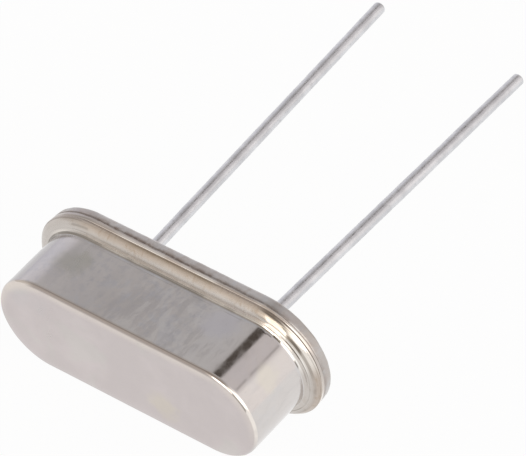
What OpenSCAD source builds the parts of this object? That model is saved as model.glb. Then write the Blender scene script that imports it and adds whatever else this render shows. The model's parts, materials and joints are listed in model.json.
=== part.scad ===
// Low-profile quartz crystal: a welded metal can over a two-lead glass-to-metal base.
// Each piece is drawn in the seat frame, whose XY plane is the underside of the base (the board seat),
// with +Z towards the can and +X along the can. lying() then lays the finished part on its broad side.

/* [Can] */
// Length of the can body, over its round ends
can_length = 10.15; // [8:0.05:14]
// Width of the can body
can_width = 3.65; // [3:0.05:5]
// Height of the part from the board seat to the top of the can
height = 3.38; // [3:0.01:6]
// Wall thickness of the drawn can
can_wall = 0.25; // [0.15:0.01:0.35]
// Outside radius of the can's top edge
top_edge_radius = 0.2; // [0.1:0.01:0.45]
// Inside radius of the can's top edge
top_inner_radius = 0.08; // [0.02:0.01:0.2]
// How far from the body the flange's curved face would meet the seam
can_flange_width = 0.5; // [0.46:0.01:0.7]
// Thickness of the can's flange at the foot of the body
can_flange_thickness = 0.29; // [0.24:0.01:0.4]
// Radius of the outer edge of the can's flange, at the seam
can_seam_radius = 0.03; // [0.02:0.01:0.08]
// Radius of the fillet where the body meets its flange
can_foot_radius = 0.05; // [0.03:0.01:0.1]
// Radius of the inner edge of the can's mouth
can_mouth_radius = 0.2; // [0.05:0.01:0.22]

/* [Base] */
// How far the base flange's edge lies inside the edge of the can's flange
base_edge_setback = 0.01; // [0.005:0.005:0.05]
// Thickness of the base flange
base_flange_thickness = 0.54; // [0.45:0.01:0.8]
// Radius of the base flange's upper edge, at the seam
base_seam_radius = 0.07; // [0.02:0.01:0.1]
// Height above the board seat at which the sheared edge starts to taper inwards
base_shear_height = 0.29; // [0.22:0.01:0.32]
// Angle of the sheared edge's taper
base_shear_taper = 5; // [1:1:12]
// Radius of the base flange's lower edge
base_lower_radius = 0.12; // [0.04:0.01:0.2]
// Height of the boss that stands inside the can
boss_height = 0.45; // [0.3:0.01:0.7]
// Gap between the boss and the can's wall
boss_clearance = 0.06; // [0.03:0.01:0.15]
// Radius of the boss's top edge
boss_edge_radius = 0.12; // [0.03:0.01:0.2]

/* [Seals] */
// Diameter of each glass seal
seal_diameter = 1.15; // [0.9:0.05:1.5]
// Depth of the glass below the board seat's face
seal_recess = 0.09; // [0.01:0.01:0.15]

/* [Leads] */
// Distance between the leads in the base
lead_pitch = 4.88; // [4.2:0.01:5.6]
// Diameter of each lead
lead_diameter = 0.43; // [0.3:0.01:0.55]
// Length of the left lead below the board seat
left_lead_length = 14.25; // [4:0.05:20]
// Length of the right lead below the board seat
right_lead_length = 13.9; // [4:0.05:20]
// Angle by which each lead leans outwards
lead_splay = 2; // [0.5:0.05:5]
// Radius of the bend, to the middle of the lead, where it starts to lean
lead_bend_radius = 2; // [1:0.1:4]
// Chamfer at the cut end of each lead
lead_tip_chamfer = 0.05; // [0.02:0.01:0.1]
// Diameter of the flattened head on the lead's inner end
lead_head_diameter = 0.8; // [0.6:0.05:1]
// Thickness of the flattened head
lead_head_thickness = 0.12; // [0.08:0.01:0.2]
// Gap between the boss and the underside of the head
lead_head_gap = 0.16; // [0.05:0.01:0.3]

/* [Clips] */
// Thickness of the spring strip that holds the quartz
clip_thickness = 0.08; // [0.05:0.01:0.12]
// Width of the spring strip
clip_width = 0.9; // [0.5:0.05:1.2]
// Radius inside the spring strip's two bends
clip_bend_radius = 0.08; // [0.04:0.01:0.14]
// Length of the clip's pad inwards from the middle of the lead
clip_pad_inner = 0.45; // [0.2:0.05:0.8]
// Height of the shelf's upper face above the clip's pad
clip_rise = 0.6; // [0.45:0.01:0.8]
// How far the shelf reaches under the end of the quartz
clip_shelf_grip = 0.75; // [0.4:0.05:1]
// How far the shelf reaches past the end of the quartz
clip_shelf_overhang = 0.12; // [0.05:0.01:0.2]

/* [Quartz] */
// Gap between each end of the quartz strip and the can's inner wall
quartz_end_gap = 0.8; // [0.5:0.05:1.2]
// Gap between each long edge of the quartz strip and the can's inner wall
quartz_side_gap = 0.55; // [0.3:0.05:0.9]
// Thickness of the quartz strip
quartz_thickness = 0.17; // [0.1:0.01:0.3]
// Thickness of the metal film on each face of the quartz
electrode_thickness = 0.01; // [0.005:0.001:0.02]
// Length of the electrode's main field
electrode_length = 4.2; // [2.5:0.1:5]
// Bare margin between the electrode's main field and the quartz's long edges
electrode_margin = 0.3; // [0.15:0.05:0.5]
// Width of the tab that runs to the end of the quartz
electrode_tab_width = 0.7; // [0.3:0.05:1]

/* [Adhesive] */
// Radius of each drop of conductive adhesive
drop_radius = 0.42; // [0.3:0.01:0.5]
// Height of the drop above the quartz's upper face
drop_height = 0.16; // [0.1:0.01:0.25]
// How far the drop's middle lies in from the end of the quartz
drop_inset = 0.2; // [0.1:0.01:0.3]

/* [Hidden] */
$fn = 96;

// Extra length of a cutter past the face that it opens
cut_past = 0.5;
// Sides of the part: the left lead is at -X and the right lead at +X
LEFT = -1;
RIGHT = 1;

// Can
spine = can_length - can_width;
can_outer = can_width / 2;
can_inner = can_outer - can_wall;
seam_z = base_flange_thickness;
can_ceiling = height - can_wall;
can_inner_length = spine + 2 * can_inner;

// The can flange's face is one arc, level at the foot of the body and cut off by the seam.
// The fillet at its foot touches it from outside, and the round at the seam touches it from inside.
arc_chord = can_flange_width * can_flange_width + can_flange_thickness * can_flange_thickness;
arc_radius = arc_chord / (2 * can_flange_thickness);
arc_z = seam_z + can_flange_thickness - arc_radius;
foot_run = can_foot_radius * arc_radius / (arc_radius + can_foot_radius);
foot_z = arc_z + sqrt(arc_radius * (arc_radius + 2 * can_foot_radius));
edge_round_z = seam_z + can_seam_radius;
edge_round_gap = arc_radius - can_seam_radius;
edge_round_rise = edge_round_z - arc_z;
edge_round_y = can_outer + sqrt(edge_round_gap * edge_round_gap - edge_round_rise * edge_round_rise);
edge_touch_z = arc_z + edge_round_rise * arc_radius / edge_round_gap;
can_flange_edge = edge_round_y + can_seam_radius;

// Base and seals
base_flange_edge = can_flange_edge - base_edge_setback;
taper_run = base_lower_radius + sin(base_shear_taper) * (base_shear_height - base_lower_radius);
lower_round_y = base_flange_edge - taper_run / cos(base_shear_taper);
taper_foot_y = lower_round_y + base_lower_radius * cos(base_shear_taper);
taper_foot_z = base_lower_radius - base_lower_radius * sin(base_shear_taper);
boss_edge = can_inner - boss_clearance;
boss_top = seam_z + boss_height;
seal_radius = seal_diameter / 2;

// Leads
lead_radius = lead_diameter / 2;
lead_x = lead_pitch / 2;
head_z = boss_top + lead_head_gap;
head_top = head_z + lead_head_thickness;

// Quartz and electrodes
quartz_length = can_inner_length - 2 * quartz_end_gap;
quartz_width = 2 * (can_inner - quartz_side_gap);
quartz_z = head_top + clip_rise + electrode_thickness;
quartz_top = quartz_z + quartz_thickness;

// Clips
shelf_top = head_top + clip_rise;
shelf_start = quartz_length / 2 - clip_shelf_grip;
shelf_end = quartz_length / 2 + clip_shelf_overhang;

// The part lies on two rounded edges: the flange's and the can top's. One line touches both.
top_round_y = can_outer - top_edge_radius;
top_round_z = height - top_edge_radius;
round_dy = edge_round_y - top_round_y;
round_dz = top_round_z - edge_round_z;
round_gap = sqrt(round_dy * round_dy + round_dz * round_dz);
lying_tilt = atan2(round_dy, round_dz) + asin((can_seam_radius - top_edge_radius) / round_gap);

// Where the lying part's lowest edge, nose and lead ends are, seen from the middle of the board seat
lying_drop = top_round_y * cos(lying_tilt) + top_round_z * sin(lying_tilt) + top_edge_radius;
nose_reach = top_round_y * sin(lying_tilt) + top_round_z * cos(lying_tilt) + top_edge_radius;
longest_lead = max(left_lead_length, right_lead_length);
tip_face_radius = lead_radius - lead_tip_chamfer;
lead_reach = longest_lead * cos(lying_tilt) + tip_face_radius * sin(lying_tilt);

// ---- Placing ----

// Lays the part on its broad side, nose down, with its footprint's middle at the origin
module lying() {
    translate([0, (nose_reach - lead_reach) / 2, lying_drop])
        rotate([90 + lying_tilt, 0, 0])
            children();
}

// Puts a piece drawn for the right-hand side on the given side
module on_side(side) {
    mirror([side == LEFT ? 1 : 0, 0, 0])
        children();
}

// ---- Outlines ----

// The spandrel of a fillet: the square corner at the origin, less the round
module spandrel(radius) {
    difference() {
        square(radius);
        translate([radius, radius])
            circle(radius);
    }
}

// The spandrel of an outer upper corner, with the corner at the given place
module upper_corner(edge, high, radius) {
    translate([edge, high])
        mirror([1, 0])
            mirror([0, 1])
                spandrel(radius);
}

// A half-section from the middle line out to edge, with its outer upper corner rounded
module rounded_slab(edge, low, high, radius) {
    difference() {
        translate([0, low])
            square([edge, high - low]);
        upper_corner(edge, high, radius);
    }
}

// Carries a half-section round an oblong with straight sides and round ends
module round_the_oblong() {
    for (side = [LEFT, RIGHT])
        on_side(side)
            translate([spine / 2, 0, 0])
                rotate([0, 0, -90])
                    rotate_extrude(angle = 180)
                        children();
    rotate([90, 0, 90])
        linear_extrude(height = spine, center = true)
            union() {
                children();
                mirror([1, 0])
                    children();
            }
}

// ---- Can ----

// The flange's arc above the seam, with its outer edge turned under by the small round
module flange_arc() {
    difference() {
        translate([can_outer, arc_z])
            circle(arc_radius);
        translate([0, seam_z - 2 * arc_radius])
            square([can_flange_edge + cut_past, 2 * arc_radius]);
        difference() {
            translate([edge_round_y, seam_z - cut_past])
                square([cut_past, edge_touch_z - seam_z + cut_past]);
            translate([edge_round_y, edge_round_z])
                circle(can_seam_radius);
        }
    }
}

// The fillet between the body's wall and the flange's arc
module foot_fillet() {
    difference() {
        translate([can_outer, seam_z])
            square([foot_run, foot_z - seam_z]);
        translate([can_outer + can_foot_radius, foot_z])
            circle(can_foot_radius);
    }
}

module can_outside() {
    rounded_slab(can_outer, seam_z, height, top_edge_radius);
    flange_arc();
    foot_fillet();
}

module can_inside() {
    rounded_slab(can_inner, seam_z - cut_past, can_ceiling, top_inner_radius);
    translate([can_inner, seam_z])
        spandrel(can_mouth_radius);
}

module can() {
    color([0.76, 0.75, 0.73])
        lying()
            round_the_oblong()
                difference() {
                    can_outside();
                    can_inside();
                }
}

// ---- Base ----

// An upright band under the seam, then the sheared edge's taper and the rounded lower edge
module base_flange() {
    difference() {
        union() {
            polygon([
                [0, 0],
                [lower_round_y, 0],
                [taper_foot_y, taper_foot_z],
                [base_flange_edge, base_shear_height],
                [base_flange_edge, seam_z],
                [0, seam_z]
            ]);
            translate([lower_round_y, base_lower_radius])
                circle(base_lower_radius);
        }
        upper_corner(base_flange_edge, seam_z, base_seam_radius);
    }
}

module base() {
    color([0.62, 0.59, 0.57])
        lying()
            difference() {
                round_the_oblong()
                    union() {
                        base_flange();
                        rounded_slab(boss_edge, seam_z, boss_top, boss_edge_radius);
                    }
                for (side = [LEFT, RIGHT])
                    translate([side * lead_x, 0, -cut_past])
                        cylinder(r = seal_radius, h = boss_top + 2 * cut_past);
            }
}

// ---- Glass seals ----

module glass_seal(side) {
    color([0.22, 0.3, 0.32])
        lying()
            translate([side * lead_x, 0, seal_recess])
                difference() {
                    cylinder(r = seal_radius, h = boss_top - 2 * seal_recess);
                    translate([0, 0, -cut_past])
                        cylinder(r = lead_radius, h = boss_top + 2 * cut_past);
                }
}

// ---- Leads ----

// The straight free part, from the bend to the cut end, drawn downwards from the bend's end
module free_lead(length) {
    translate([0, 0, lead_tip_chamfer - length])
        cylinder(r = lead_radius, h = length - lead_tip_chamfer);
    translate([0, 0, -length])
        cylinder(r1 = tip_face_radius, r2 = lead_radius, h = lead_tip_chamfer);
}

module lead(side, length) {
    straight = (length - lead_bend_radius * sin(lead_splay)) / cos(lead_splay);
    color([0.72, 0.72, 0.71])
        lying()
            on_side(side)
                translate([lead_x, 0, 0]) {
                    translate([0, 0, head_z])
                        cylinder(d = lead_head_diameter, h = lead_head_thickness);
                    cylinder(r = lead_radius, h = head_z);
                    translate([lead_bend_radius, 0, 0])
                        rotate([-90, 0, 180])
                            rotate_extrude(angle = lead_splay)
                                translate([lead_bend_radius, 0])
                                    circle(lead_radius);
                    translate([lead_bend_radius, 0, 0])
                        rotate([0, -lead_splay, 0])
                            translate([-lead_bend_radius, 0, 0])
                                free_lead(straight);
                }
}

// ---- Clips ----

// A quarter bend of the strip, from the downward direction at the origin's left to the level
module strip_bend() {
    intersection() {
        difference() {
            circle(clip_bend_radius + clip_thickness);
            circle(clip_bend_radius);
        }
        square(clip_bend_radius + clip_thickness);
    }
}

// Side view of the strip: pad on the lead's head, riser, and shelf under the end of the quartz
module clip_outline() {
    bend_size = clip_bend_radius + clip_thickness;
    riser_x = shelf_start - bend_size;
    translate([lead_x - clip_pad_inner, head_top])
        square([riser_x - lead_x + clip_pad_inner, clip_thickness]);
    translate([riser_x, head_top + bend_size])
        mirror([0, 1])
            strip_bend();
    translate([riser_x + clip_bend_radius, head_top + bend_size])
        square([clip_thickness, clip_rise - 2 * bend_size]);
    translate([riser_x + clip_thickness + 2 * clip_bend_radius, shelf_top - bend_size])
        mirror([1, 0])
            strip_bend();
    translate([riser_x + clip_thickness + 2 * clip_bend_radius, shelf_top - clip_thickness])
        square([shelf_end - riser_x - clip_thickness - 2 * clip_bend_radius, clip_thickness]);
}

module clip(side) {
    color([0.78, 0.76, 0.7])
        lying()
            on_side(side)
                rotate([90, 0, 0])
                    linear_extrude(height = clip_width, center = true)
                        clip_outline();
}

// ---- Quartz and its electrodes ----

module quartz_strip() {
    color([0.86, 0.9, 0.92])
        lying()
            translate([-quartz_length / 2, -quartz_width / 2, quartz_z])
                cube([quartz_length, quartz_width, quartz_thickness]);
}

// Main field and the tab that carries it to the given end of the quartz
module electrode(side, low) {
    field_width = quartz_width - 2 * electrode_margin;
    color([0.85, 0.84, 0.8])
        lying()
            on_side(side)
                translate([0, 0, low])
                    linear_extrude(height = electrode_thickness)
                        union() {
                            square([electrode_length, field_width], center = true);
                            translate([0, -electrode_tab_width / 2])
                                square([quartz_length / 2, electrode_tab_width]);
                        }
}

// ---- Adhesive ----

// A drop that stands on the clip's shelf and wraps the end of the quartz and its films
module adhesive(side) {
    drop_top = quartz_top + electrode_thickness + drop_height;
    dome = (drop_radius * drop_radius + drop_height * drop_height) / (2 * drop_height);
    color([0.6, 0.6, 0.58])
        lying()
            on_side(side)
                difference() {
                    translate([quartz_length / 2 - drop_inset, 0, 0])
                        intersection() {
                            translate([0, 0, shelf_top])
                                cylinder(r = drop_radius, h = drop_top - shelf_top);
                            translate([0, 0, drop_top - dome])
                                sphere(dome);
                        }
                    translate([0, -quartz_width / 2, shelf_top])
                        cube([quartz_length / 2, quartz_width, quartz_top + electrode_thickness - shelf_top]);
                }
}

can();
base();
glass_seal(LEFT);  // glass_seal_left
glass_seal(RIGHT);  // glass_seal_right
lead(LEFT, left_lead_length);  // lead_left
lead(RIGHT, right_lead_length);  // lead_right
clip(LEFT);  // clip_left
clip(RIGHT);  // clip_right
quartz_strip();
electrode(RIGHT, quartz_top);  // electrode_can_side
electrode(LEFT, shelf_top);  // electrode_base_side
adhesive(LEFT);  // adhesive_left
adhesive(RIGHT);  // adhesive_right
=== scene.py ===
"""Looks of the low-profile quartz crystal: a welded metal can on a flanged base with two tinned leads.

The shown pieces are built in the seat frame, in metres: the XY plane is the underside of the base,
+Z points towards the can and +X runs along it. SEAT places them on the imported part.
"""

import json
import math

import bmesh
import bpy
from mathutils import Matrix, Quaternion, Vector, noise


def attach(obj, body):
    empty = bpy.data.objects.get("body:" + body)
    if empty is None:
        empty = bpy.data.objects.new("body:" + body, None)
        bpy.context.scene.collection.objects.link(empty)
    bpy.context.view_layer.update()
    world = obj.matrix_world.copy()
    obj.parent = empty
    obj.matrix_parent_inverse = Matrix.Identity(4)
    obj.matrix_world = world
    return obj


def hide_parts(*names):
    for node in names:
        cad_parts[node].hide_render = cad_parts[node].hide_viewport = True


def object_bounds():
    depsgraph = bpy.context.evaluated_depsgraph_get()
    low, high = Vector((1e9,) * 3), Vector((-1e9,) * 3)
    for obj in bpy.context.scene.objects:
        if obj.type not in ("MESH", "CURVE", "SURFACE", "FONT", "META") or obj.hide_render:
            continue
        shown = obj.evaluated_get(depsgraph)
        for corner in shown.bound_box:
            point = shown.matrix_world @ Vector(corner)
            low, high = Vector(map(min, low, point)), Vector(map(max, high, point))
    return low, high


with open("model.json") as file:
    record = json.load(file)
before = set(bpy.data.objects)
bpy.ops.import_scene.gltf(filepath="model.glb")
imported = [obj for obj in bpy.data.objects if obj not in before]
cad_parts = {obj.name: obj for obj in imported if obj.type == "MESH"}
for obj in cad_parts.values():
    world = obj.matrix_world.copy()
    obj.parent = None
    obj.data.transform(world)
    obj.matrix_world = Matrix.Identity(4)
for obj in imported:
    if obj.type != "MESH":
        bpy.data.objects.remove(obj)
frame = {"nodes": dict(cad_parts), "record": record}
cad_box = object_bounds()
mounts = {mount["name"]: mount for mount in frame["record"]["mounts"]}

MM = 0.001
QUARTER = math.pi / 2
# Edges that turn by more than this stay sharp in the shading
SHARP_TURN = math.radians(38)
# Vertices closer than this, in metres, are one
SAME_PLACE = 1e-8

# ---- Sizes in mm, as in the part's source ----

CAN_LENGTH = 10.15
CAN_WIDTH = 3.65
HEIGHT = 3.38
CAN_WALL = 0.25
TOP_INNER_RADIUS = 0.08
CAN_FLANGE_WIDTH = 0.5
CAN_FLANGE_THICKNESS = 0.29
CAN_SEAM_RADIUS = 0.03
CAN_MOUTH_RADIUS = 0.2
BASE_EDGE_SETBACK = 0.01
BASE_SHEAR_HEIGHT = 0.29
BASE_SHEAR_TAPER = math.radians(5)
BASE_LOWER_RADIUS = 0.12
BOSS_HEIGHT = 0.45
BOSS_CLEARANCE = 0.06
BOSS_EDGE_RADIUS = 0.12
SEAL_RADIUS = 0.575
SEAL_RECESS = 0.09
LEAD_PITCH = 4.88
LEAD_BEND_RADIUS = 2.0
LEAD_TIP_CHAMFER = 0.05
LEAD_HEAD_RADIUS = 0.4
LEAD_HEAD_THICKNESS = 0.12
LEAD_HEAD_GAP = 0.16
SEAM_Z = 0.54
# The fillet at the foot of the can's wall, drawn softer than the source's 0.05
CAN_FOOT_RADIUS = 0.1

SPINE = CAN_LENGTH - CAN_WIDTH
CAN_OUTER = CAN_WIDTH / 2
CAN_INNER = CAN_OUTER - CAN_WALL
BOSS_TOP = SEAM_Z + BOSS_HEIGHT
HEAD_Z = BOSS_TOP + LEAD_HEAD_GAP
LEAD_RADIUS = mounts["lead_pin_left"]["dims"]["r_mm"]

# The can flange's face is one arc from the foot of the body down to the seam
ARC_RADIUS = (CAN_FLANGE_WIDTH**2 + CAN_FLANGE_THICKNESS**2) / (2 * CAN_FLANGE_THICKNESS)
ARC_Z = SEAM_Z + CAN_FLANGE_THICKNESS - ARC_RADIUS
FOOT_Z = ARC_Z + math.sqrt(ARC_RADIUS * (ARC_RADIUS + 2 * CAN_FOOT_RADIUS))
FOOT_ANGLE = math.acos(CAN_FOOT_RADIUS / (ARC_RADIUS + CAN_FOOT_RADIUS))
EDGE_ROUND_Z = SEAM_Z + CAN_SEAM_RADIUS
EDGE_ANGLE = math.asin((EDGE_ROUND_Z - ARC_Z) / (ARC_RADIUS - CAN_SEAM_RADIUS))
EDGE_ROUND_REACH = CAN_OUTER + (ARC_RADIUS - CAN_SEAM_RADIUS) * math.cos(EDGE_ANGLE)
BASE_EDGE = EDGE_ROUND_REACH + CAN_SEAM_RADIUS - BASE_EDGE_SETBACK
TAPER_RUN = BASE_LOWER_RADIUS + math.sin(BASE_SHEAR_TAPER) * (BASE_SHEAR_HEIGHT - BASE_LOWER_RADIUS)
LOWER_ROUND_REACH = BASE_EDGE - TAPER_RUN / math.cos(BASE_SHEAR_TAPER)

# ---- Surface detail, in mm ----

# The sheared edge of the base: its rolled-over corner, and the line where the burnished band ends
BASE_ROLLED_RADIUS = 0.12
SHEAR_LINE_LEFT = 0.34
SHEAR_LINE_RIGHT = 0.41
# The tin rounds a lead's tip a little more than its chamfer
LEAD_TIP_ROUND = 0.09
# The can's top is a little crowned near its rounded edge
TOP_ROUND_RADIUS = 0.15
CROWN_REACH = 0.35
CROWN_DROP = 0.033
# Rings that the welding electrode pressed in the can flange: angle on its arc, depth, width, how dark
# it is, and how dark the painted dark reflection over it is at the right end
WELD_RINGS = (
    (72, 0.005, 0.02, 0.5, 0.95),
    (65, 0.003, 0.014, 0.2, 0.2),
    (56.5, 0.006, 0.05, 0.35, 0.95),
    (39, 0.004, 0.016, 0.3, 0.3),
)
# Dark marks at the wall's foot and on the flange, and a painted dark reflection line on the top's edge
# (last row): from and to along X, from and to up Z, how dark
DARK_MARKS = (
    (4.06, 4.31, 0.845, 0.90, 0.95),
    (3.86, 4.02, 0.935, 0.965, 0.8),
    (3.74, 3.86, 0.96, 1.0, 0.8),
    (4.82, 4.92, 0.865, 0.90, 0.8),
    (-3.95, -3.3, 0.71, 0.745, 0.3),
    (-5.1, -3.6, 0.612, 0.618, 0.45),
    # Painted dark reflection line inside the highlight on the top's rounded edge
    (4.3, 4.76, 3.305, 3.328, 0.75),
)
# Stains on the can, and a painted dark reflection at the left end (fourth row): where the middle is, width,
# strength, tint
CAN_STAINS_AND_DARK_REFLECTION = (
    ((2.45, CAN_OUTER, 1.45), 1.1, 0.5, (0.60, 0.585, 0.64)),
    ((-3.07, CAN_OUTER, 1.88), 0.95, 0.62, (0.465, 0.45, 0.395)),
    ((-2.72, CAN_OUTER, 1.62), 0.6, 0.4, (0.48, 0.465, 0.41)),
    # Painted dark reflection over the wall's left end
    ((-4.4, 1.3, 2.0), 2.6, 0.45, (0.52, 0.505, 0.52)),
    ((4.65, 1.15, 2.0), 0.8, 0.5, (0.70, 0.67, 0.585)),
    ((1.4, -0.75, HEIGHT), 1.0, 0.3, (0.66, 0.60, 0.44)),
)
# Where a painted dark reflection darkens the rings at the right end: from and to, along X
DARK_REFLECTION_START = 4.45
DARK_REFLECTION_END = 5.0

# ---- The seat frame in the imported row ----

seat = mounts["board_seat"]
SEAT_Z = -Vector(seat["axis"])
SEAT_X = Vector((1, 0, 0))
SEAT_Y = SEAT_Z.cross(SEAT_X)
SEAT = Matrix.Translation(seat["pos_m"]) @ Matrix((SEAT_X, SEAT_Y, SEAT_Z)).transposed().to_4x4()


# ---- Mesh helpers ----

def arc(centre, radius, start, end, steps):
    """Points (reach, z) on an arc about centre, from the start angle to the end angle, both included."""
    angles = [start + (end - start) * step / steps for step in range(steps + 1)]
    return [(centre[0] + radius * math.cos(a), centre[1] + radius * math.sin(a)) for a in angles]


def straight(start, end, steps):
    """Points strictly between start and end, which the neighbouring stretches add."""
    shares = [step / steps for step in range(1, steps)]
    return [(start[0] + (end[0] - start[0]) * s, start[1] + (end[1] - start[1]) * s) for s in shares]


def oblong_stations(arc_steps, run_steps):
    """(x of the round's centre, angle) of each section round the oblong, anticlockwise."""
    stations = []
    for side in (1, -1):
        turn = -QUARTER if side == 1 else QUARTER
        stations += [(side * SPINE / 2, turn + math.pi * step / arc_steps) for step in range(arc_steps)]
        run = [side * SPINE / 2 - side * SPINE * step / run_steps for step in range(run_steps)]
        stations += [(x, turn + math.pi) for x in run]
    return stations


def oblong_sweep(profile, arc_steps, run_steps):
    """The profile of (reach, z) points in mm, carried round the oblong as a bmesh in metres."""
    stations = oblong_stations(arc_steps, run_steps)
    mesh = bmesh.new()
    rings = []
    for x, angle in stations:
        ring = []
        for reach, z in profile:
            place = Vector((x + reach * math.cos(angle), reach * math.sin(angle), z))
            ring.append(mesh.verts.new(place * MM))
        rings.append(ring)
    for index, ring in enumerate(rings):
        after = rings[(index + 1) % len(rings)]
        for low in range(len(profile) - 1):
            mesh.faces.new((ring[low], after[low], after[low + 1], ring[low + 1]))
    bmesh.ops.remove_doubles(mesh, verts=mesh.verts, dist=SAME_PLACE)
    bmesh.ops.recalc_face_normals(mesh, faces=mesh.faces)
    return mesh


def lathe(profile, steps, closed=False):
    """The profile of (radius, z) points in mm, turned about Z as a bmesh in metres."""
    mesh = bmesh.new()
    rings = []
    for step in range(steps):
        angle = 2 * math.pi * step / steps
        places = [Vector((r * math.cos(angle), r * math.sin(angle), z)) for r, z in profile]
        rings.append([mesh.verts.new(place * MM) for place in places])
    count = len(profile)
    for index, ring in enumerate(rings):
        after = rings[(index + 1) % steps]
        for low in range(count if closed else count - 1):
            high = (low + 1) % count
            mesh.faces.new((ring[low], after[low], after[high], ring[high]))
    bmesh.ops.remove_doubles(mesh, verts=mesh.verts, dist=SAME_PLACE)
    bmesh.ops.recalc_face_normals(mesh, faces=mesh.faces)
    return mesh


def push_out(mesh, amount):
    """Moves each vertex along its normal by amount(its place in mm), in mm."""
    mesh.normal_update()
    moves = [(vert, vert.normal * amount(vert.co / MM) * MM) for vert in mesh.verts]
    for vert, move in moves:
        vert.co += move


def finish_piece(name, mesh, material, slot, *nodes):
    """Turns the bmesh from the seat frame to the row, as a smooth-shaded object for the CAD nodes."""
    data = bpy.data.meshes.new(name)
    bmesh.ops.transform(mesh, matrix=SEAT, verts=mesh.verts)
    mesh.to_mesh(data)
    mesh.free()
    data.shade_smooth()
    data.set_sharp_from_angle(angle=SHARP_TURN)
    data.materials.append(material)
    piece = bpy.data.objects.new(name, data)
    bpy.context.collection.objects.link(piece)
    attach(piece, "root")
    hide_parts(*nodes)
    return piece


def ripple(place, scale, seed=0.0):
    """Smooth noise from about -1 to 1, with features about scale mm wide."""
    return noise.noise(place / scale + Vector((seed, seed, seed)))


# ---- Shader helpers ----

class Shader:
    """A node material on the seat frame's coordinates in mm."""

    def __init__(self, name):
        self.material = bpy.data.materials.new(name)
        self.material.use_nodes = True
        self.tree = self.material.node_tree
        self.surface = self.tree.nodes["Principled BSDF"]
        row_place = self.node("ShaderNodeTexCoord").outputs["Object"]
        turn = SEAT.to_euler()
        seat_frame = {"Vector": row_place, "Location": SEAT.translation, "Rotation": turn}
        seat_frame["Scale"] = (MM, MM, MM)
        self.place = self.node("ShaderNodeMapping", seat_frame, vector_type="TEXTURE").outputs["Vector"]
        parts = self.node("ShaderNodeSeparateXYZ", {0: self.place}).outputs
        self.x, self.y, self.z = parts["X"], parts["Y"], parts["Z"]
        past_run = self.math("MAXIMUM", self.math("SUBTRACT", self.away(self.x, 0.0), SPINE / 2), 0.0)
        round_run = {0: past_run, 1: self.y}
        flat = self.node("ShaderNodeCombineXYZ", round_run).outputs[0]
        self.reach = self.node("ShaderNodeVectorMath", {0: flat}, operation="LENGTH").outputs["Value"]

    def node(self, kind, inputs=None, **settings):
        """A node with its settings, and its inputs joined to outputs or set to values."""
        made = self.tree.nodes.new(kind)
        for key, value in settings.items():
            setattr(made, key, value)
        for key, value in (inputs or {}).items():
            if isinstance(value, bpy.types.NodeSocket):
                self.tree.links.new(value, made.inputs[key])
            else:
                made.inputs[key].default_value = value
        return made

    def math(self, operation, first, second=0.0):
        return self.node("ShaderNodeMath", {0: first, 1: second}, operation=operation).outputs[0]

    def times(self, *shares):
        """All the shares multiplied together."""
        total = shares[0]
        for share in shares[1:]:
            total = self.math("MULTIPLY", total, share)
        return total

    def away(self, value, middle):
        """How far value is from middle, on either side."""
        return self.math("ABSOLUTE", self.math("SUBTRACT", value, middle))

    def stretched(self, x, y, z, vector=None):
        """The place with each axis scaled, so that a pattern on it is drawn out along the small ones."""
        inputs = {0: vector or self.place, 1: (x, y, z)}
        return self.node("ShaderNodeVectorMath", inputs, operation="MULTIPLY").outputs[0]

    def noise(self, scale, detail=3.0, rough=0.5, vector=None, distortion=0.0):
        """Noise about 0.5, with features about 1/scale mm wide."""
        inputs = {"Vector": vector or self.place, "Scale": scale, "Detail": detail}
        inputs.update({"Roughness": rough, "Distortion": distortion})
        return self.node("ShaderNodeTexNoise", inputs).outputs["Fac"]

    def spots(self, scale, vector=None):
        """Distance to the nearest of many scattered points, in cells of 1/scale mm."""
        inputs = {"Vector": vector or self.place, "Scale": scale}
        return self.node("ShaderNodeTexVoronoi", inputs).outputs["Distance"]

    def step(self, value, low, high, first=0.0, last=1.0):
        """A smooth step from first to last as value goes from low to high."""
        inputs = {"Value": value, "From Min": low, "From Max": high, "To Min": first, "To Max": last}
        return self.node("ShaderNodeMapRange", inputs, interpolation_type="SMOOTHSTEP").outputs[0]

    def between(self, value, low, full, last, high):
        """1 where value is from full to last, and 0 below low and above high."""
        return self.times(self.step(value, low, full), self.step(value, high, last))

    def blend(self, share, first, second):
        """The first colour turning into the second as share goes from 0 to 1."""
        inputs = {"Factor": share, "A": colour(first), "B": colour(second)}
        return self.node("ShaderNodeMix", inputs, data_type="RGBA").outputs["Result"]

    def paint(self, before, tint, *shares):
        """The tint over the colour before, as far as all the shares let it."""
        return self.blend(self.times(*shares), before, tint)

    def ragged_patch(self, before, place, width, strength, tint):
        """A ragged patch of the tint over the colour before, about width mm wide."""
        distance = self.node("ShaderNodeVectorMath", {0: self.place, 1: place}, operation="DISTANCE")
        ragged = self.times(self.math("SUBTRACT", self.noise(2.0 / width, 4, 0.6), 0.5), width)
        edge = self.math("ADD", distance.outputs["Value"], ragged)
        return self.paint(before, tint, self.step(edge, 0.75 * width, 0.25 * width, 0.0, strength))

    def bump(self, height, distance, before=None):
        """A bump whose height of 1 stands for distance mm."""
        inputs = {"Height": height, "Distance": distance * MM}
        if before:
            inputs["Normal"] = before
        return self.node("ShaderNodeBump", inputs).outputs["Normal"]

    def set(self, **values):
        """Sets or joins the surface shader's inputs, with _ for the spaces in their names."""
        for key, value in values.items():
            socket = self.surface.inputs[key.replace("_", " ")]
            if isinstance(value, bpy.types.NodeSocket):
                self.tree.links.new(value, socket)
            else:
                socket.default_value = value


def colour(value):
    """A colour input: three numbers get an alpha of 1, and a socket stays as it is."""
    return value if isinstance(value, bpy.types.NodeSocket) else (*value, 1.0)


# ---- Materials ----

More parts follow.
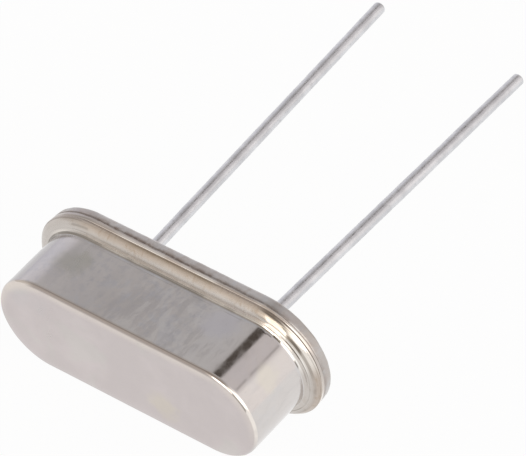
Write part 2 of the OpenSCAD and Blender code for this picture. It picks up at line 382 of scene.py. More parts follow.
CAN_TINTS = {
    "dark grey": (0.565, 0.53, 0.51),
    "light grey": (0.61, 0.57, 0.55),
    "dark top": (0.57, 0.517, 0.51),
    "light top": (0.615, 0.556, 0.55),
    "streak": (0.50, 0.475, 0.47),
    "bluish": (0.52, 0.53, 0.575),
    "lower wall": (0.63, 0.595, 0.575),
    "left wall": (0.65, 0.615, 0.60),
    "right wall": (0.69, 0.655, 0.635),
    "blotch": (0.485, 0.475, 0.495),
    "light line": (0.71, 0.68, 0.655),
    "dark line": (0.46, 0.44, 0.43),
    "shaded end": (0.42, 0.40, 0.41),
    "painted foot reflection line": (0.36, 0.345, 0.34),
    "painted pale reflection strip": (0.66, 0.67, 0.70),
    "painted edge highlight": (0.72, 0.655, 0.60),
    "painted dark edge band": (0.40, 0.35, 0.325),
    "painted right edge highlight": (0.90, 0.84, 0.78),
    "flange": (0.575, 0.535, 0.50),
    "painted inner flange highlight": (0.85, 0.795, 0.73),
    "khaki": (0.50, 0.425, 0.365),
    "grime": (0.40, 0.315, 0.24),
    "scorched": (0.36, 0.29, 0.215),
    "dull end": (0.42, 0.37, 0.345),
    "painted end highlight": (0.80, 0.745, 0.685),
    "painted end hot spot": (0.96, 0.93, 0.88),
    "golden": (0.32, 0.275, 0.23),
    "ring": (0.17, 0.14, 0.11),
    "mark": (0.14, 0.12, 0.10),
    "seam": (0.16, 0.12, 0.09),
    "foot": (0.2, 0.18, 0.16),
    "speck": (0.36, 0.33, 0.31),
}
BASE_TINTS = {
    "dark plate": (0.59, 0.565, 0.55),
    "light plate": (0.67, 0.645, 0.63),
    "burnished": (0.86, 0.77, 0.70),
    "bright": (1.0, 0.95, 0.90),
    "dull low": (0.58, 0.515, 0.475),
    "dimmer band": (0.66, 0.585, 0.53),
    "left end": (0.42, 0.39, 0.375),
    "right end": (0.47, 0.43, 0.40),
    "scraped": (0.50, 0.44, 0.40),
    "bluish": (0.58, 0.59, 0.61),
    "rusty": (0.30, 0.235, 0.20),
    "painted shade at shear line": (0.17, 0.14, 0.13),
}


def can_sheet(s, on_wall, drawn):
    """The drawn sheet: cloudy grey, and on the wall drawn lines, blotches and slow changes along it."""
    tint = CAN_TINTS
    cloudy = s.step(s.noise(0.45, 4, 0.55), 0.35, 0.68)
    grey = s.blend(cloudy, tint["dark grey"], tint["light grey"])
    top = s.blend(cloudy, tint["dark top"], tint["light top"])
    plain = s.step(s.noise(0.5, 3, 0.5, distortion=0.6), 0.5, 0.62, 0.0, 0.8)
    tone = s.blend(s.math("MAXIMUM", on_wall, plain), top, grey)
    tone = s.paint(tone, tint["streak"], on_wall, s.step(drawn, 0.42, 0.62, 0.0, 0.6))
    bluish = s.step(s.noise(1.3, 4, 0.6, distortion=0.5), 0.5, 0.64, 0.0, 0.45)
    tone = s.paint(tone, tint["bluish"], on_wall, bluish)
    tone = s.paint(tone, tint["lower wall"], s.step(s.z, 2.3, 0.9, 0.0, 0.4))
    tone = s.paint(tone, tint["left wall"], on_wall, s.step(s.x, -0.8, -2.4, 0.0, 0.5))
    tone = s.paint(tone, tint["right wall"], on_wall, s.step(s.x, 0.3, 2.6, 0.0, 0.75))
    small = s.step(s.noise(4.5, 5, 0.62), 0.47, 0.62, 0.0, 0.5)
    large = s.step(s.noise(0.6, 3), 0.4, 0.58, 0.3, 1.0)
    tone = s.paint(tone, tint["blotch"], on_wall, small, large, s.step(s.x, 2.6, 1.6, 0.12, 1.0))
    fine = s.noise(1.0, 3, 0.55, s.stretched(3.6, 3.6, 1.3), 0.4)
    fine_share = s.times(on_wall, s.step(s.away(s.x, 1.3), 3.0, 0.9, 0.25, 1.0))
    tone = s.paint(tone, tint["light line"], fine_share, s.step(fine, 0.48, 0.64, 0.0, 0.45))
    return s.paint(tone, tint["dark line"], fine_share, s.step(fine, 0.48, 0.34, 0.0, 0.4))


def can_stains_and_painted_reflections(s, tone, on_wall):
    """Stains, a painted dark reflection at the left end, the dark left end of the wall, and a painted dark
    and a painted pale reflection line just above the wall's foot.
    """
    tint = CAN_TINTS
    for ragged_patch in CAN_STAINS_AND_DARK_REFLECTION:
        tone = s.ragged_patch(tone, *ragged_patch)
    at_left = s.step(s.x, -3.9, -4.35, 0.0, 0.8)
    tone = s.paint(tone, tint["shaded end"], on_wall, at_left, s.step(s.y, 0.4, 1.2))
    # A painted dark reflection line on the wall just above its foot
    on_line = s.step(s.away(s.z, FOOT_Z + 0.07), 0.022, 0.006)
    broken = s.step(s.noise(1.4, 4), 0.35, 0.6)
    tone = s.paint(tone, tint["painted foot reflection line"], on_line, s.step(s.x, 3.2, 2.6, 0.0, 0.45), broken)
    # A painted pale reflection strip just above the wall's foot
    above = s.step(s.z, FOOT_Z + 0.06, FOOT_Z + 0.03)
    return s.paint(tone, tint["painted pale reflection strip"], above, s.step(s.noise(1.1, 4), 0.4, 0.62, 0.1, 0.6), on_wall)


def can_top_edge(s, tone):
    """The top's rounded edge: a painted highlight along it, a painted dark reflection band along the near
    side and a painted bright highlight at the right.
    """
    tint = CAN_TINTS
    # A painted highlight along the top's rounded edge on the near side
    near_edge = s.times(s.step(s.reach, CAN_OUTER - 0.42, CAN_OUTER - 0.06), s.step(s.y, -0.9, 1.3))
    edge_highlight_share = s.step(s.noise(1.2, 3), 0.3, 0.6, 0.5, 0.95)
    tone = s.paint(tone, tint["painted edge highlight"], near_edge, s.step(s.z, HEIGHT - 0.18, HEIGHT - 0.08), edge_highlight_share)
    # A painted dark reflection band along the near side of the top's edge
    band = s.between(s.z, HEIGHT - 0.14, HEIGHT - 0.1, HEIGHT - 0.045, HEIGHT - 0.025)
    along = s.times(s.between(s.x, -3.9, -3.4, 4.2, 4.4), s.step(s.x, 3.9, 3.2, 0.3, 1.0))
    tone = s.paint(tone, tint["painted dark edge band"], band, along, s.step(s.y, 0.4, 1.1))
    # A painted bright highlight on the top's edge at the right end
    outer = s.step(s.reach, CAN_OUTER - 0.09, CAN_OUTER - 0.05)
    outer = s.times(outer, s.step(s.z, HEIGHT - 0.17, HEIGHT - 0.12))
    at_right = s.times(s.step(s.x, 4.2, 4.7), s.step(s.y, -0.9, 0.3, 0.0, 0.85))
    return s.paint(tone, tint["painted right edge highlight"], outer, at_right, s.step(s.noise(2.0, 3), 0.3, 0.5, 0.6, 1.0))


def can_flange(s, tone, on_flange):
    """The can's flange: khaki, grimy, scorched in the middle, dull at the left, with a painted highlight on
    its inner part and a painted bright highlight at the right.
    """
    tint = CAN_TINTS
    level = s.math("ADD", s.z, s.times(s.math("SUBTRACT", s.noise(1.7, 4, 0.6), 0.5), 0.14))
    tone = s.paint(tone, tint["flange"], on_flange)
    # A painted highlight on the inner part of the flange, near the wall's foot
    inner = s.step(s.z, SEAM_Z + 0.26, SEAM_Z + 0.29)
    tone = s.paint(tone, tint["painted inner flange highlight"], on_flange, inner, s.step(s.y, 0.9, 1.6, 0.0, 0.75))
    aged = s.step(s.x, -4.3, -2.9, 0.15, 1.0)
    tone = s.paint(tone, tint["khaki"], aged, s.step(level, SEAM_Z + 0.26, SEAM_Z + 0.12, 0.0, 0.85))
    grimy = s.step(s.noise(1.0, 5, 0.65, s.stretched(5.0, 2.2, 2.2), 0.6), 0.5, 0.66, 0.0, 0.5)
    outer = s.step(s.z, SEAM_Z + 0.27, SEAM_Z + 0.16, 0.35, 1.0)
    tone = s.paint(tone, tint["grime"], on_flange, grimy, aged, outer)
    middle = s.step(s.away(s.x, -0.25), 2.4, 1.3, 0.0, 0.9)
    patchy = s.step(s.noise(0.8, 3), 0.3, 0.6, 0.6, 1.0)
    tone = s.paint(tone, tint["scorched"], s.step(level, SEAM_Z + 0.14, SEAM_Z + 0.03), middle, patchy)
    dull = s.times(s.step(s.x, -3.0, -3.9), s.step(s.z, SEAM_Z + 0.09, SEAM_Z + 0.065))
    tone = s.paint(tone, tint["dull end"], dull, s.step(s.y, 0.0, 0.8, 0.0, 0.75))
    # A painted highlight and hot spot on the flange at the right end
    bright = s.blend(s.step(s.z, SEAM_Z + 0.22, SEAM_Z + 0.26), tint["painted end highlight"], tint["painted end hot spot"])
    tone = s.paint(tone, bright, on_flange, s.step(s.x, 3.9, 4.4), s.step(s.y, 0.3, 1.0))
    brushed = s.step(s.noise(1.0, 3, 0.6, s.stretched(0.8, 0.8, 30.0)), 0.42, 0.58, 0.25, 1.0)
    corner = s.times(s.between(s.x, 3.2, 3.7, 4.3, 4.75), s.step(s.y, 0.8, 1.3))
    lower = s.step(s.z, SEAM_Z + 0.25, SEAM_Z + 0.22)
    return s.paint(tone, tint["golden"], corner, on_flange, lower, brushed)


def weld_marks_and_painted_shade(s, tone, on_flange):
    """The weld's rings with a painted dark reflection over them at the right end, dark marks, a painted
    dark reflection line on the top's edge, painted shade in the seam, and painted shade in the corner at
    the wall's foot.
    """
    tint = CAN_TINTS
    turn = s.math("ARCTAN2", s.math("SUBTRACT", s.z, ARC_Z), s.math("SUBTRACT", s.reach, CAN_OUTER))
    at_right = s.step(s.x, 3.0, 4.4, 0.1, 1.0)
    broken = s.step(s.noise(1.1, 3), 0.35, 0.6, 0.3, 1.0)
    # A painted dark reflection over the rings at the right end
    run = s.between(s.x, DARK_REFLECTION_START - 0.08, DARK_REFLECTION_START + 0.05, DARK_REFLECTION_END - 0.1, DARK_REFLECTION_END + 0.15)
    dark_reflection_run = s.times(run, s.step(s.y, 0.9, 1.1))
    dark_reflection_end = s.times(s.step(s.x, 4.6, 4.8), s.step(s.y, 0.1, 0.7, 0.0, 0.7))
    for ring_turn, _, width, darkness, reflection_darkness in WELD_RINGS:
        off_ring = s.times(s.away(turn, math.radians(ring_turn)), ARC_RADIUS)
        share = s.times(at_right, broken, darkness)
        share = s.math("MAXIMUM", share, s.times(dark_reflection_run, reflection_darkness))
        share = s.math("MAXIMUM", share, s.times(dark_reflection_end, 0.8 * reflection_darkness))
        tone = s.paint(tone, tint["ring"], s.step(off_ring, 1.5 * width, 0.6 * width), on_flange, share)
    for start, end, low, high, darkness in DARK_MARKS:
        along = s.between(s.x, start - 0.04, start + 0.02, end - 0.02, end + 0.04)
        up = s.between(s.z, low - 0.015, low + 0.01, high - 0.01, high + 0.015)
        tone = s.paint(tone, tint["mark"], along, up, s.step(s.y, 0.3, 0.6, 0.0, darkness))
    at_ends = s.step(s.away(s.x, 0.0), 3.6, 4.7, 0.2, 0.9)
    # Painted shade in the seam's groove and over the can flange's rounded edge, stronger at the ends
    tone = s.paint(tone, tint["seam"], s.step(s.z, SEAM_Z + 0.03, SEAM_Z + 0.01), at_ends)
    # Painted shade in the corner at the wall's foot
    corner = s.step(s.away(s.reach, CAN_OUTER + 0.04), 0.045, 0.02)
    corner = s.times(corner, s.step(s.z, FOOT_Z + 0.05, FOOT_Z), s.step(s.x, 4.1, 3.4))
    return s.paint(tone, tint["foot"], corner, s.step(s.noise(0.9), 0.35, 0.6, 0.5, 0.85))


def can_metal():
    """Drawn nickel silver: bright and a little cloudy, heat-tinted and marked by the weld on its flange,
    with painted highlights, shade and dark reflections.
    """
    s = Shader("can_metal")
    on_wall = s.step(s.z, HEIGHT - 0.03, HEIGHT - 0.15)
    on_flange = s.step(s.z, FOOT_Z - 0.01, FOOT_Z - 0.07)
    drawn = s.noise(1.0, 4, 0.6, s.stretched(1.9, 1.9, 0.75), 0.8)
    tone = can_stains_and_painted_reflections(s, can_sheet(s, on_wall, drawn), on_wall)
    tone = weld_marks_and_painted_shade(s, can_flange(s, can_top_edge(s, tone), on_flange), on_flange)
    specks = s.step(s.spots(4.5), 0.075, 0.045, 0.0, 0.4)
    s.set(Base_Color=s.blend(specks, tone, CAN_TINTS["speck"]), Metallic=1.0)
    mottle = s.math("ADD", s.noise(2.2, 5, 0.6, distortion=0.6), s.times(drawn, 0.6))
    flange_matt = s.times(on_flange, s.step(s.x, 3.7, 2.9), 0.14)
    left_matt = s.times(s.step(s.x, -4.2, -3.4, 0.0, 0.08), s.step(s.x, -2.2, -3.0))
    matt = s.math("ADD", s.step(mottle, 0.6, 1.1, 0.09, 0.22), flange_matt)
    s.set(Roughness=s.math("ADD", matt, left_matt))
    draw_lines = s.bump(s.noise(6.0, 3, 0.6, s.stretched(2.0, 2.0, 0.12)), 0.0004)
    s.set(Normal=s.bump(s.noise(9.0, 3, 0.6), 0.0003, draw_lines))
    return s.material


def base_metal():
    """Nickel-plated steel, with a burnished band, lightened into a painted highlight, above the torn part
    of its sheared edge, and painted shade along the shear line.
    """
    s = Shader("base_metal")
    tint = BASE_TINTS
    cloudy = s.step(s.noise(0.8, 4, 0.55), 0.35, 0.68)
    plate = s.blend(cloudy, tint["dark plate"], tint["light plate"])
    along = s.math("DIVIDE", s.math("ADD", s.x, CAN_LENGTH / 2), CAN_LENGTH)
    line_z = s.step(along, 0.0, 1.0, SHEAR_LINE_LEFT, SHEAR_LINE_RIGHT)
    wobble = s.times(s.math("SUBTRACT", s.noise(2.6, 4, 0.6), 0.5), 0.07)
    level = s.math("SUBTRACT", s.math("ADD", s.z, wobble), line_z)
    torn = s.step(level, 0.05, -0.012)
    on_rim = s.step(s.z, SEAM_Z + 0.01, SEAM_Z - 0.005)

    # The band's burnish is real; its light colours are a painted highlight, dimmer at a few places along it
    band = s.blend(s.step(s.noise(1.2, 3), 0.35, 0.6), tint["burnished"], tint["bright"])
    low = s.step(s.z, SEAM_Z - 0.09, SEAM_Z - 0.13, 0.0, 0.8)
    band = s.paint(band, tint["dull low"], low, s.step(s.x, 3.4, 2.8))
    dimmer_band_share = s.math("MAXIMUM", s.between(s.x, 1.4, 1.8, 3.0, 3.4), s.step(s.x, -2.0, -2.6))
    dimmer_band_share = s.math("MAXIMUM", dimmer_band_share, s.step(s.x, 4.5, 4.8))
    band = s.paint(band, tint["dimmer band"], dimmer_band_share, s.step(s.y, 0.0, 0.5, 0.0, 0.8))
    tone = s.paint(plate, band, on_rim, s.math("SUBTRACT", 1.0, torn))
    at_left = s.step(s.x, -2.9, -3.7, 0.0, 0.72)
    tone = s.paint(tone, tint["left end"], on_rim, at_left, s.step(s.y, 0.3, 1.2))
    at_right = s.step(s.x, 4.1, 4.9, 0.0, 0.55)
    tone = s.paint(tone, tint["right end"], at_right, s.step(s.y, -1.0, 0.0), on_rim)

    scraped = s.noise(1.0, 5, 0.6, s.stretched(2.2, 2.2, 1.6), 1.0)
    tone = s.paint(tone, tint["scraped"], torn, s.step(scraped, 0.46, 0.62, 0.0, 0.45))
    tone = s.paint(tone, tint["bluish"], torn, s.step(scraped, 0.48, 0.36, 0.0, 0.35))
    rusty = s.step(s.noise(3.0, 4, 0.65, distortion=0.5), 0.4, 0.58, 0.3, 0.85)
    run = s.step(s.away(s.x, -1.0), 4.6, 1.6, 0.35, 1.0)
    tone = s.paint(tone, tint["rusty"], torn, s.step(level, -0.2, -0.04), rusty, run)
    # Painted shade along the groove at the shear line
    ragged = s.times(s.step(s.noise(4.0, 4, 0.6), 0.3, 0.6, 0.15, 0.5), s.step(s.x, 4.5, 3.7, 0.15, 1.0))
    line = s.step(s.away(level, -0.02), 0.065, 0.015)
    s.set(Base_Color=s.paint(tone, tint["painted shade at shear line"], line, ragged, on_rim), Metallic=1.0)

    s.set(Roughness=s.math("ADD", s.step(torn, 0, 1, 0.08, 0.26), s.times(s.noise(6.0, 4), 0.14)))
    grain = s.times(s.noise(16.0, 3, 0.6), s.step(torn, 0, 1, 0.1, 1.0))
    lines = s.noise(1.0, 4, 0.65, s.stretched(2.5, 2.5, 26.0))
    rolled = s.bump(s.times(lines, s.step(torn, 0, 1, 0.15, 1.0)), 0.004)
    s.set(Normal=s.bump(grain, 0.0012, rolled))
    return s.material


def lead_metal():
    """Tinned wire: a slightly lumpy coat with small bright and dull places."""
    s = Shader("lead_metal")
    clouds = s.noise(1.6, 4, 0.6)
    tin = s.blend(s.step(clouds, 0.35, 0.66), (0.63, 0.63, 0.65), (0.74, 0.74, 0.76))
    dull = s.step(s.noise(6.5, 4, 0.6), 0.6, 0.72, 0.0, 0.5)
    s.set(Base_Color=s.blend(dull, tin, (0.495, 0.495, 0.51)), Metallic=1.0)
    s.set(Roughness=s.step(s.noise(5.0, 4, 0.6), 0.3, 0.75, 0.24, 0.46))
    drawn = s.bump(s.noise(7.0, 4, 0.6, s.stretched(1.0, 1.0, 0.45)), 0.006)
    s.set(Normal=s.bump(s.noise(26.0, 3, 0.6), 0.0012, drawn))
    return s.material


def seal_glass():
    """Dark fused glass with fine bubbles."""
    s = Shader("seal_glass")
    bubbles = s.step(s.spots(9.0), 0.16, 0.08)
    body = s.blend(s.noise(3.0, 3), (0.012, 0.03, 0.035), (0.03, 0.055, 0.06))
    s.set(Base_Color=s.paint(body, (0.16, 0.2, 0.2), bubbles, 0.3))
    s.set(Roughness=s.step(s.noise(4.0, 3), 0.3, 0.7, 0.06, 0.16), IOR=1.5)
    s.set(Normal=s.bump(s.noise(5.0, 3), 0.006))
    return s.material


def clip_metal():
    """Thin spring strip with rolling lines along it."""
    s = Shader("clip_metal")
    lines = s.noise(12.0, 3, 0.6, s.stretched(0.15, 1.0, 1.0))
    s.set(Base_Color=s.blend(lines, (0.56, 0.53, 0.46), (0.68, 0.65, 0.58)), Metallic=1.0)
    s.set(Roughness=s.step(lines, 0.3, 0.7, 0.24, 0.4))
    s.set(Normal=s.bump(lines, 0.001))
    return s.material


def quartz():
    """Lapped quartz: clear, with a frosted skin."""
    s = Shader("quartz")
    frost = s.noise(18.0, 4, 0.6)
    s.set(Base_Color=s.blend(frost, (0.84, 0.88, 0.9), (0.94, 0.96, 0.97)))
    s.set(Roughness=s.step(frost, 0.3, 0.7, 0.18, 0.38), IOR=1.54, Transmission_Weight=0.85)
    s.set(Normal=s.bump(frost, 0.0008))
    return s.material


def silver_film():
    """Evaporated silver that shows the lapped face under it."""
    s = Shader("silver_film")
    grain = s.noise(16.0, 4, 0.6)
    s.set(Base_Color=s.blend(s.noise(1.2, 3), (0.82, 0.81, 0.77), (0.9, 0.89, 0.86)), Metallic=1.0)
    s.set(Roughness=s.step(grain, 0.3, 0.7, 0.16, 0.3))
    s.set(Normal=s.bump(grain, 0.0006))
    return s.material


def conductive_adhesive():
    """Silver-filled epoxy: dull grey with bright flakes."""
    s = Shader("conductive_adhesive")
    flakes = s.step(s.spots(16.0), 0.22, 0.08)
    s.set(Base_Color=s.blend(flakes, (0.42, 0.42, 0.4), (0.72, 0.72, 0.7)))
    s.set(Metallic=s.step(flakes, 0, 1, 0.35, 0.9), Roughness=s.step(flakes, 0, 1, 0.55, 0.3))
    s.set(Normal=s.bump(s.noise(12.0, 4, 0.6), 0.006))
    return s.material


# ---- Can ----

def can_profile():
    """The closed half-section of the can, from the middle of its top, round its flange, to its ceiling."""
    crown_slope = math.atan(2 * CROWN_DROP / CROWN_REACH)
    top_reach = CAN_OUTER - TOP_ROUND_RADIUS
    crown_end = top_reach + TOP_ROUND_RADIUS * math.sin(crown_slope)
    crown_start = crown_end - CROWN_REACH
    top_z = HEIGHT - CROWN_DROP - TOP_ROUND_RADIUS * math.cos(crown_slope)
    foot = (CAN_OUTER + CAN_FOOT_RADIUS, FOOT_Z)
    mouth = (CAN_INNER + CAN_MOUTH_RADIUS, SEAM_Z + CAN_MOUTH_RADIUS)
    ceiling = HEIGHT - CAN_WALL
    inner_reach = CAN_INNER - TOP_INNER_RADIUS
    inner_z = ceiling - TOP_INNER_RADIUS
    points = [(0, HEIGHT)]
    points += straight((0, HEIGHT), (crown_start, HEIGHT), 10)
    shares = [step / 12 for step in range(12)]
    points += [(crown_start + CROWN_REACH * share, HEIGHT - CROWN_DROP * share**2) for share in shares]
    points += arc((top_reach, top_z), TOP_ROUND_RADIUS, QUARTER - crown_slope, 0, 14)
    points += straight((CAN_OUTER, top_z), (CAN_OUTER, FOOT_Z), 26)
    points += arc(foot, CAN_FOOT_RADIUS, math.pi, math.pi + FOOT_ANGLE, 6)
    points += arc((CAN_OUTER, ARC_Z), ARC_RADIUS, FOOT_ANGLE, EDGE_ANGLE, 52)[1:]
    points += arc((EDGE_ROUND_REACH, EDGE_ROUND_Z), CAN_SEAM_RADIUS, EDGE_ANGLE, -QUARTER, 5)[1:]
    points += straight((EDGE_ROUND_REACH, SEAM_Z), (mouth[0], SEAM_Z), 3)
    points += arc(mouth, CAN_MOUTH_RADIUS, -QUARTER, -math.pi, 6)
    points += straight((CAN_INNER, mouth[1]), (CAN_INNER, inner_z), 6)
    points += arc((inner_reach, inner_z), TOP_INNER_RADIUS, 0, QUARTER, 4)
    points += straight((inner_reach, ceiling), (0, ceiling), 4)
    points += [(0, ceiling)]
    return points


def smooth_step(value, low, high):
    """0 at low and 1 at high, with a smooth rise between them."""
    share = min(1.0, max(0.0, (value - low) / (high - low)))
    return share * share * (3 - 2 * share)


def weld_rings(place):
    """How far the electrode's rings lower the can flange's face, deepest at its round ends."""
    reach = math.hypot(max(abs(place.x) - SPINE / 2, 0.0), place.y)
    turn = math.degrees(math.atan2(place.z - ARC_Z, reach - CAN_OUTER))
    uneven = 0.55 + 0.45 * ripple(place, 1.3, 21.0)
    strength = uneven * (0.25 + 0.75 * smooth_step(abs(place.x - 0.4), 2.0, 4.0))
    drop = 0.0
    for ring_turn, depth, width, _, _ in WELD_RINGS:
        away = math.radians(turn - ring_turn) * ARC_RADIUS / width
        drop += depth * math.exp(-away * away)
    return drop * strength


def can_waviness(place):
    """Low waves of the drawn sheet and the weld's rings, in mm, which stop at the seam's flat face."""
    wave = 0.003 * ripple(place, 1.9) + 0.0006 * ripple(place, 0.7, 7.0)
    wall = smooth_step(place.z, FOOT_Z, FOOT_Z + 0.3)
    wave += 0.006 * ripple(place, 1.1, 31.0) * smooth_step(-place.x, 2.2, 3.2) * wall
    if place.z < SEAM_Z + CAN_FLANGE_THICKNESS and math.hypot(place.x, place.y) > CAN_INNER:
        wave += 0.003 * ripple(place, 0.9, 3.0) - weld_rings(place)
    return wave if place.z > SEAM_Z + 0.001 else 0.0


def can():
    mesh = oblong_sweep(can_profile(), 72, 56)
    push_out(mesh, can_waviness)
    return finish_piece("can_shell", mesh, can_metal(), "can_metal", "can")


# ---- Base ----

def base_profile():
    """The closed half-section of the base, from the middle of its underside to the middle of its boss."""
    boss_edge = CAN_INNER - BOSS_CLEARANCE
    boss_reach = boss_edge - BOSS_EDGE_RADIUS
    boss_z = BOSS_TOP - BOSS_EDGE_RADIUS
    lower = (LOWER_ROUND_REACH, BASE_LOWER_RADIUS)
    upper = (BASE_EDGE - BASE_ROLLED_RADIUS, SEAM_Z - BASE_ROLLED_RADIUS)
    points = [(0, 0)]
    points += straight((0, 0), (LOWER_ROUND_REACH, 0), 10)
    points += arc(lower, BASE_LOWER_RADIUS, -QUARTER, -BASE_SHEAR_TAPER, 9)
    points += straight(points[-1], (BASE_EDGE, BASE_SHEAR_HEIGHT), 9)
    points += [(BASE_EDGE, BASE_SHEAR_HEIGHT)]
    points += straight((BASE_EDGE, BASE_SHEAR_HEIGHT), (BASE_EDGE, upper[1]), 8)
    points += arc(upper, BASE_ROLLED_RADIUS, 0, QUARTER, 14)
    points += straight((upper[0], SEAM_Z), (boss_edge, SEAM_Z), 4)
    points += [(boss_edge, SEAM_Z)]
    points += straight((boss_edge, SEAM_Z), (boss_edge, boss_z), 3)
    points += arc((boss_reach, boss_z), BOSS_EDGE_RADIUS, 0, QUARTER, 4)
    points += straight((boss_reach, BOSS_TOP), (0, BOSS_TOP), 4)
    points += [(0, BOSS_TOP)]
    return points


def base_roughness(place):
    """The sheared edge is torn below its burnished band, and everything else is nearly flat."""
    if place.z > SEAM_Z - 0.001:
        return 0.0
    if place.z < 0.004:
        return 0.002 * ripple(place, 1.4)
    along = smooth_step(place.x, -CAN_LENGTH / 2, CAN_LENGTH / 2)
    line = SHEAR_LINE_LEFT + (SHEAR_LINE_RIGHT - SHEAR_LINE_LEFT) * along
    below = line - place.z + 0.02 * ripple(place, 0.4, 5.0)
    torn = smooth_step(below, 0.0, 0.02)
    tear = 0.02 * math.exp(-((below - 0.02) / 0.02) ** 2)
    coarse = 0.006 * ripple(place, 0.3, 11.0) + 0.003 * ripple(place, 0.12, 2.0)
    return 0.002 * ripple(place, 1.1) - tear + torn * (coarse - 0.006)


def seal_hole():
    """A cutter for a seal's hole, flared at the underside where the punch rolled its edge."""
    flare = 0.05
    points = [(0, -0.5), (SEAL_RADIUS + flare, -0.5)]
    points += arc((SEAL_RADIUS + flare, flare), flare, -QUARTER, -math.pi, 5)
    points += [(SEAL_RADIUS, BOSS_TOP + 0.5), (0, BOSS_TOP + 0.5)]
    return lathe(points, 64)


def base():
    mesh = oblong_sweep(base_profile(), 96, 72)
    push_out(mesh, base_roughness)
    piece = finish_piece("base_plate", mesh, base_metal(), "base_metal", "base")
    for side in (-1, 1):
        cutter = seal_hole()
        bmesh.ops.translate(cutter, verts=cutter.verts, vec=(side * LEAD_PITCH / 2 * MM, 0, 0))
        data = bpy.data.meshes.new("hole")
        cutter.to_mesh(data)
        cutter.free()
        hole = bpy.data.objects.new("hole", data)
        bpy.context.collection.objects.link(hole)
        hole.matrix_world = SEAT
        cut = piece.modifiers.new("hole", "BOOLEAN")
        cut.object = hole
        cut.operation = "DIFFERENCE"
        bpy.context.view_layer.objects.active = piece
        bpy.ops.object.modifier_apply(modifier="hole")
        bpy.data.objects.remove(hole)
        bpy.data.meshes.remove(data)
    piece.data.set_sharp_from_angle(angle=SHARP_TURN)
    return piece


# ---- Glass seals ----

def seal_profile():
    """The glass round a lead, dished on both faces where it wetted the lead and the hole."""
    low, high = SEAL_RECESS, BOSS_TOP - SEAL_RECESS
    climb = 0.05
    dish = [(LEAD_RADIUS, -climb), (LEAD_RADIUS + 0.03, -0.4 * climb), (LEAD_RADIUS + 0.09, 0.0)]
    dish += [(SEAL_RADIUS - 0.12, 0.0), (SEAL_RADIUS - 0.04, -0.3 * climb), (SEAL_RADIUS, -0.8 * climb)]
    return [(r, low + z) for r, z in dish] + [(r, high - z) for r, z in reversed(dish)]


def glass_seal(side, node, material):
    mesh = lathe(seal_profile(), 64, closed=True)
    bmesh.ops.translate(mesh, verts=mesh.verts, vec=(side * LEAD_PITCH / 2 * MM, 0, 0))
    return finish_piece(node + "_glass", mesh, material, "seal_glass", node)


# ---- Leads ----

def lead_sections(side, length):
    """(centre, outward direction across the lead, radius) of each section, from the head to the tip."""
    head_top = HEAD_Z + LEAD_HEAD_THICKNESS
    across = Vector((side, 0, 0))
    foot = Vector((side * LEAD_PITCH / 2, 0, 0))
    soft = 0.03
    head = [(head_top, 0.0), (head_top, LEAD_HEAD_RADIUS - soft), (head_top - soft, LEAD_HEAD_RADIUS)]
    head += [(HEAD_Z + soft, LEAD_HEAD_RADIUS), (HEAD_Z, LEAD_HEAD_RADIUS - soft), (HEAD_Z, LEAD_RADIUS)]
    head += [(HEAD_Z * (1 - step / 20), LEAD_RADIUS) for step in range(1, 21)]
    sections = [(foot + Vector((0, 0, z)), across, radius) for z, radius in head]
    splay = mounts["lead_pin_left"]["axis"][0]
    lean = math.asin(abs(splay))
    bend_steps = 4
    for step in range(1, bend_steps + 1):
        angle = lean * step / bend_steps
        out = LEAD_BEND_RADIUS * (1 - math.cos(angle))
        centre = foot + Vector((side * out, 0, -LEAD_BEND_RADIUS * math.sin(angle)))
        sections.append((centre, Vector((side * math.cos(angle), 0, math.sin(angle))), LEAD_RADIUS))
    start, direction = sections[-1][0], sections[-1][1]
    along = Vector((side * math.sin(lean), 0, -math.cos(lean)))
    end = length + LEAD_TIP_CHAMFER
    run = end - LEAD_TIP_ROUND
    steps = round(run / 0.05)
    for step in range(1, steps + 1):
        sections.append((start + along * run * step / steps, direction, LEAD_RADIUS))
    tip = arc((LEAD_RADIUS - LEAD_TIP_ROUND, run), LEAD_TIP_ROUND, 0, QUARTER, 6)[1:]
    sections += [(start + along * z, direction, radius) for radius, z in tip]
    sections.append((start + along * end, direction, 0.0))
    return sections


def lead(side, node, material):
    mount = mounts["lead_pin_left" if side == -1 else "lead_pin_right"]
    sections = lead_sections(side, mount["dims"]["length_mm"])
    steps = 28
    mesh = bmesh.new()
    rings = []
    for centre, across, radius in sections:
        ring = []
        for step in range(steps):
            angle = 2 * math.pi * step / steps
            place = centre + radius * (across * math.cos(angle) + Vector((0, 1, 0)) * math.sin(angle))
            ring.append(mesh.verts.new(place * MM))
        rings.append(ring)
    for ring, after in zip(rings, rings[1:]):
        for step in range(steps):
            beside = (step + 1) % steps
            mesh.faces.new((ring[step], ring[beside], after[beside], after[step]))
    bmesh.ops.remove_doubles(mesh, verts=mesh.verts, dist=SAME_PLACE)
    bmesh.ops.recalc_face_normals(mesh, faces=mesh.faces)

    def lumps(place):
        """The tin coat's uneven thickness below the base."""
        coat = 0.0045 * ripple(place, 0.8, 4.0 * side) + 0.003 * ripple(place, 0.28, 9.0 * side)
        return coat - 0.002 if place.z < -0.05 else 0.0

    push_out(mesh, lumps)
    return finish_piece(node + "_wire", mesh, material, "lead_metal", node)


# ---- Studio ----

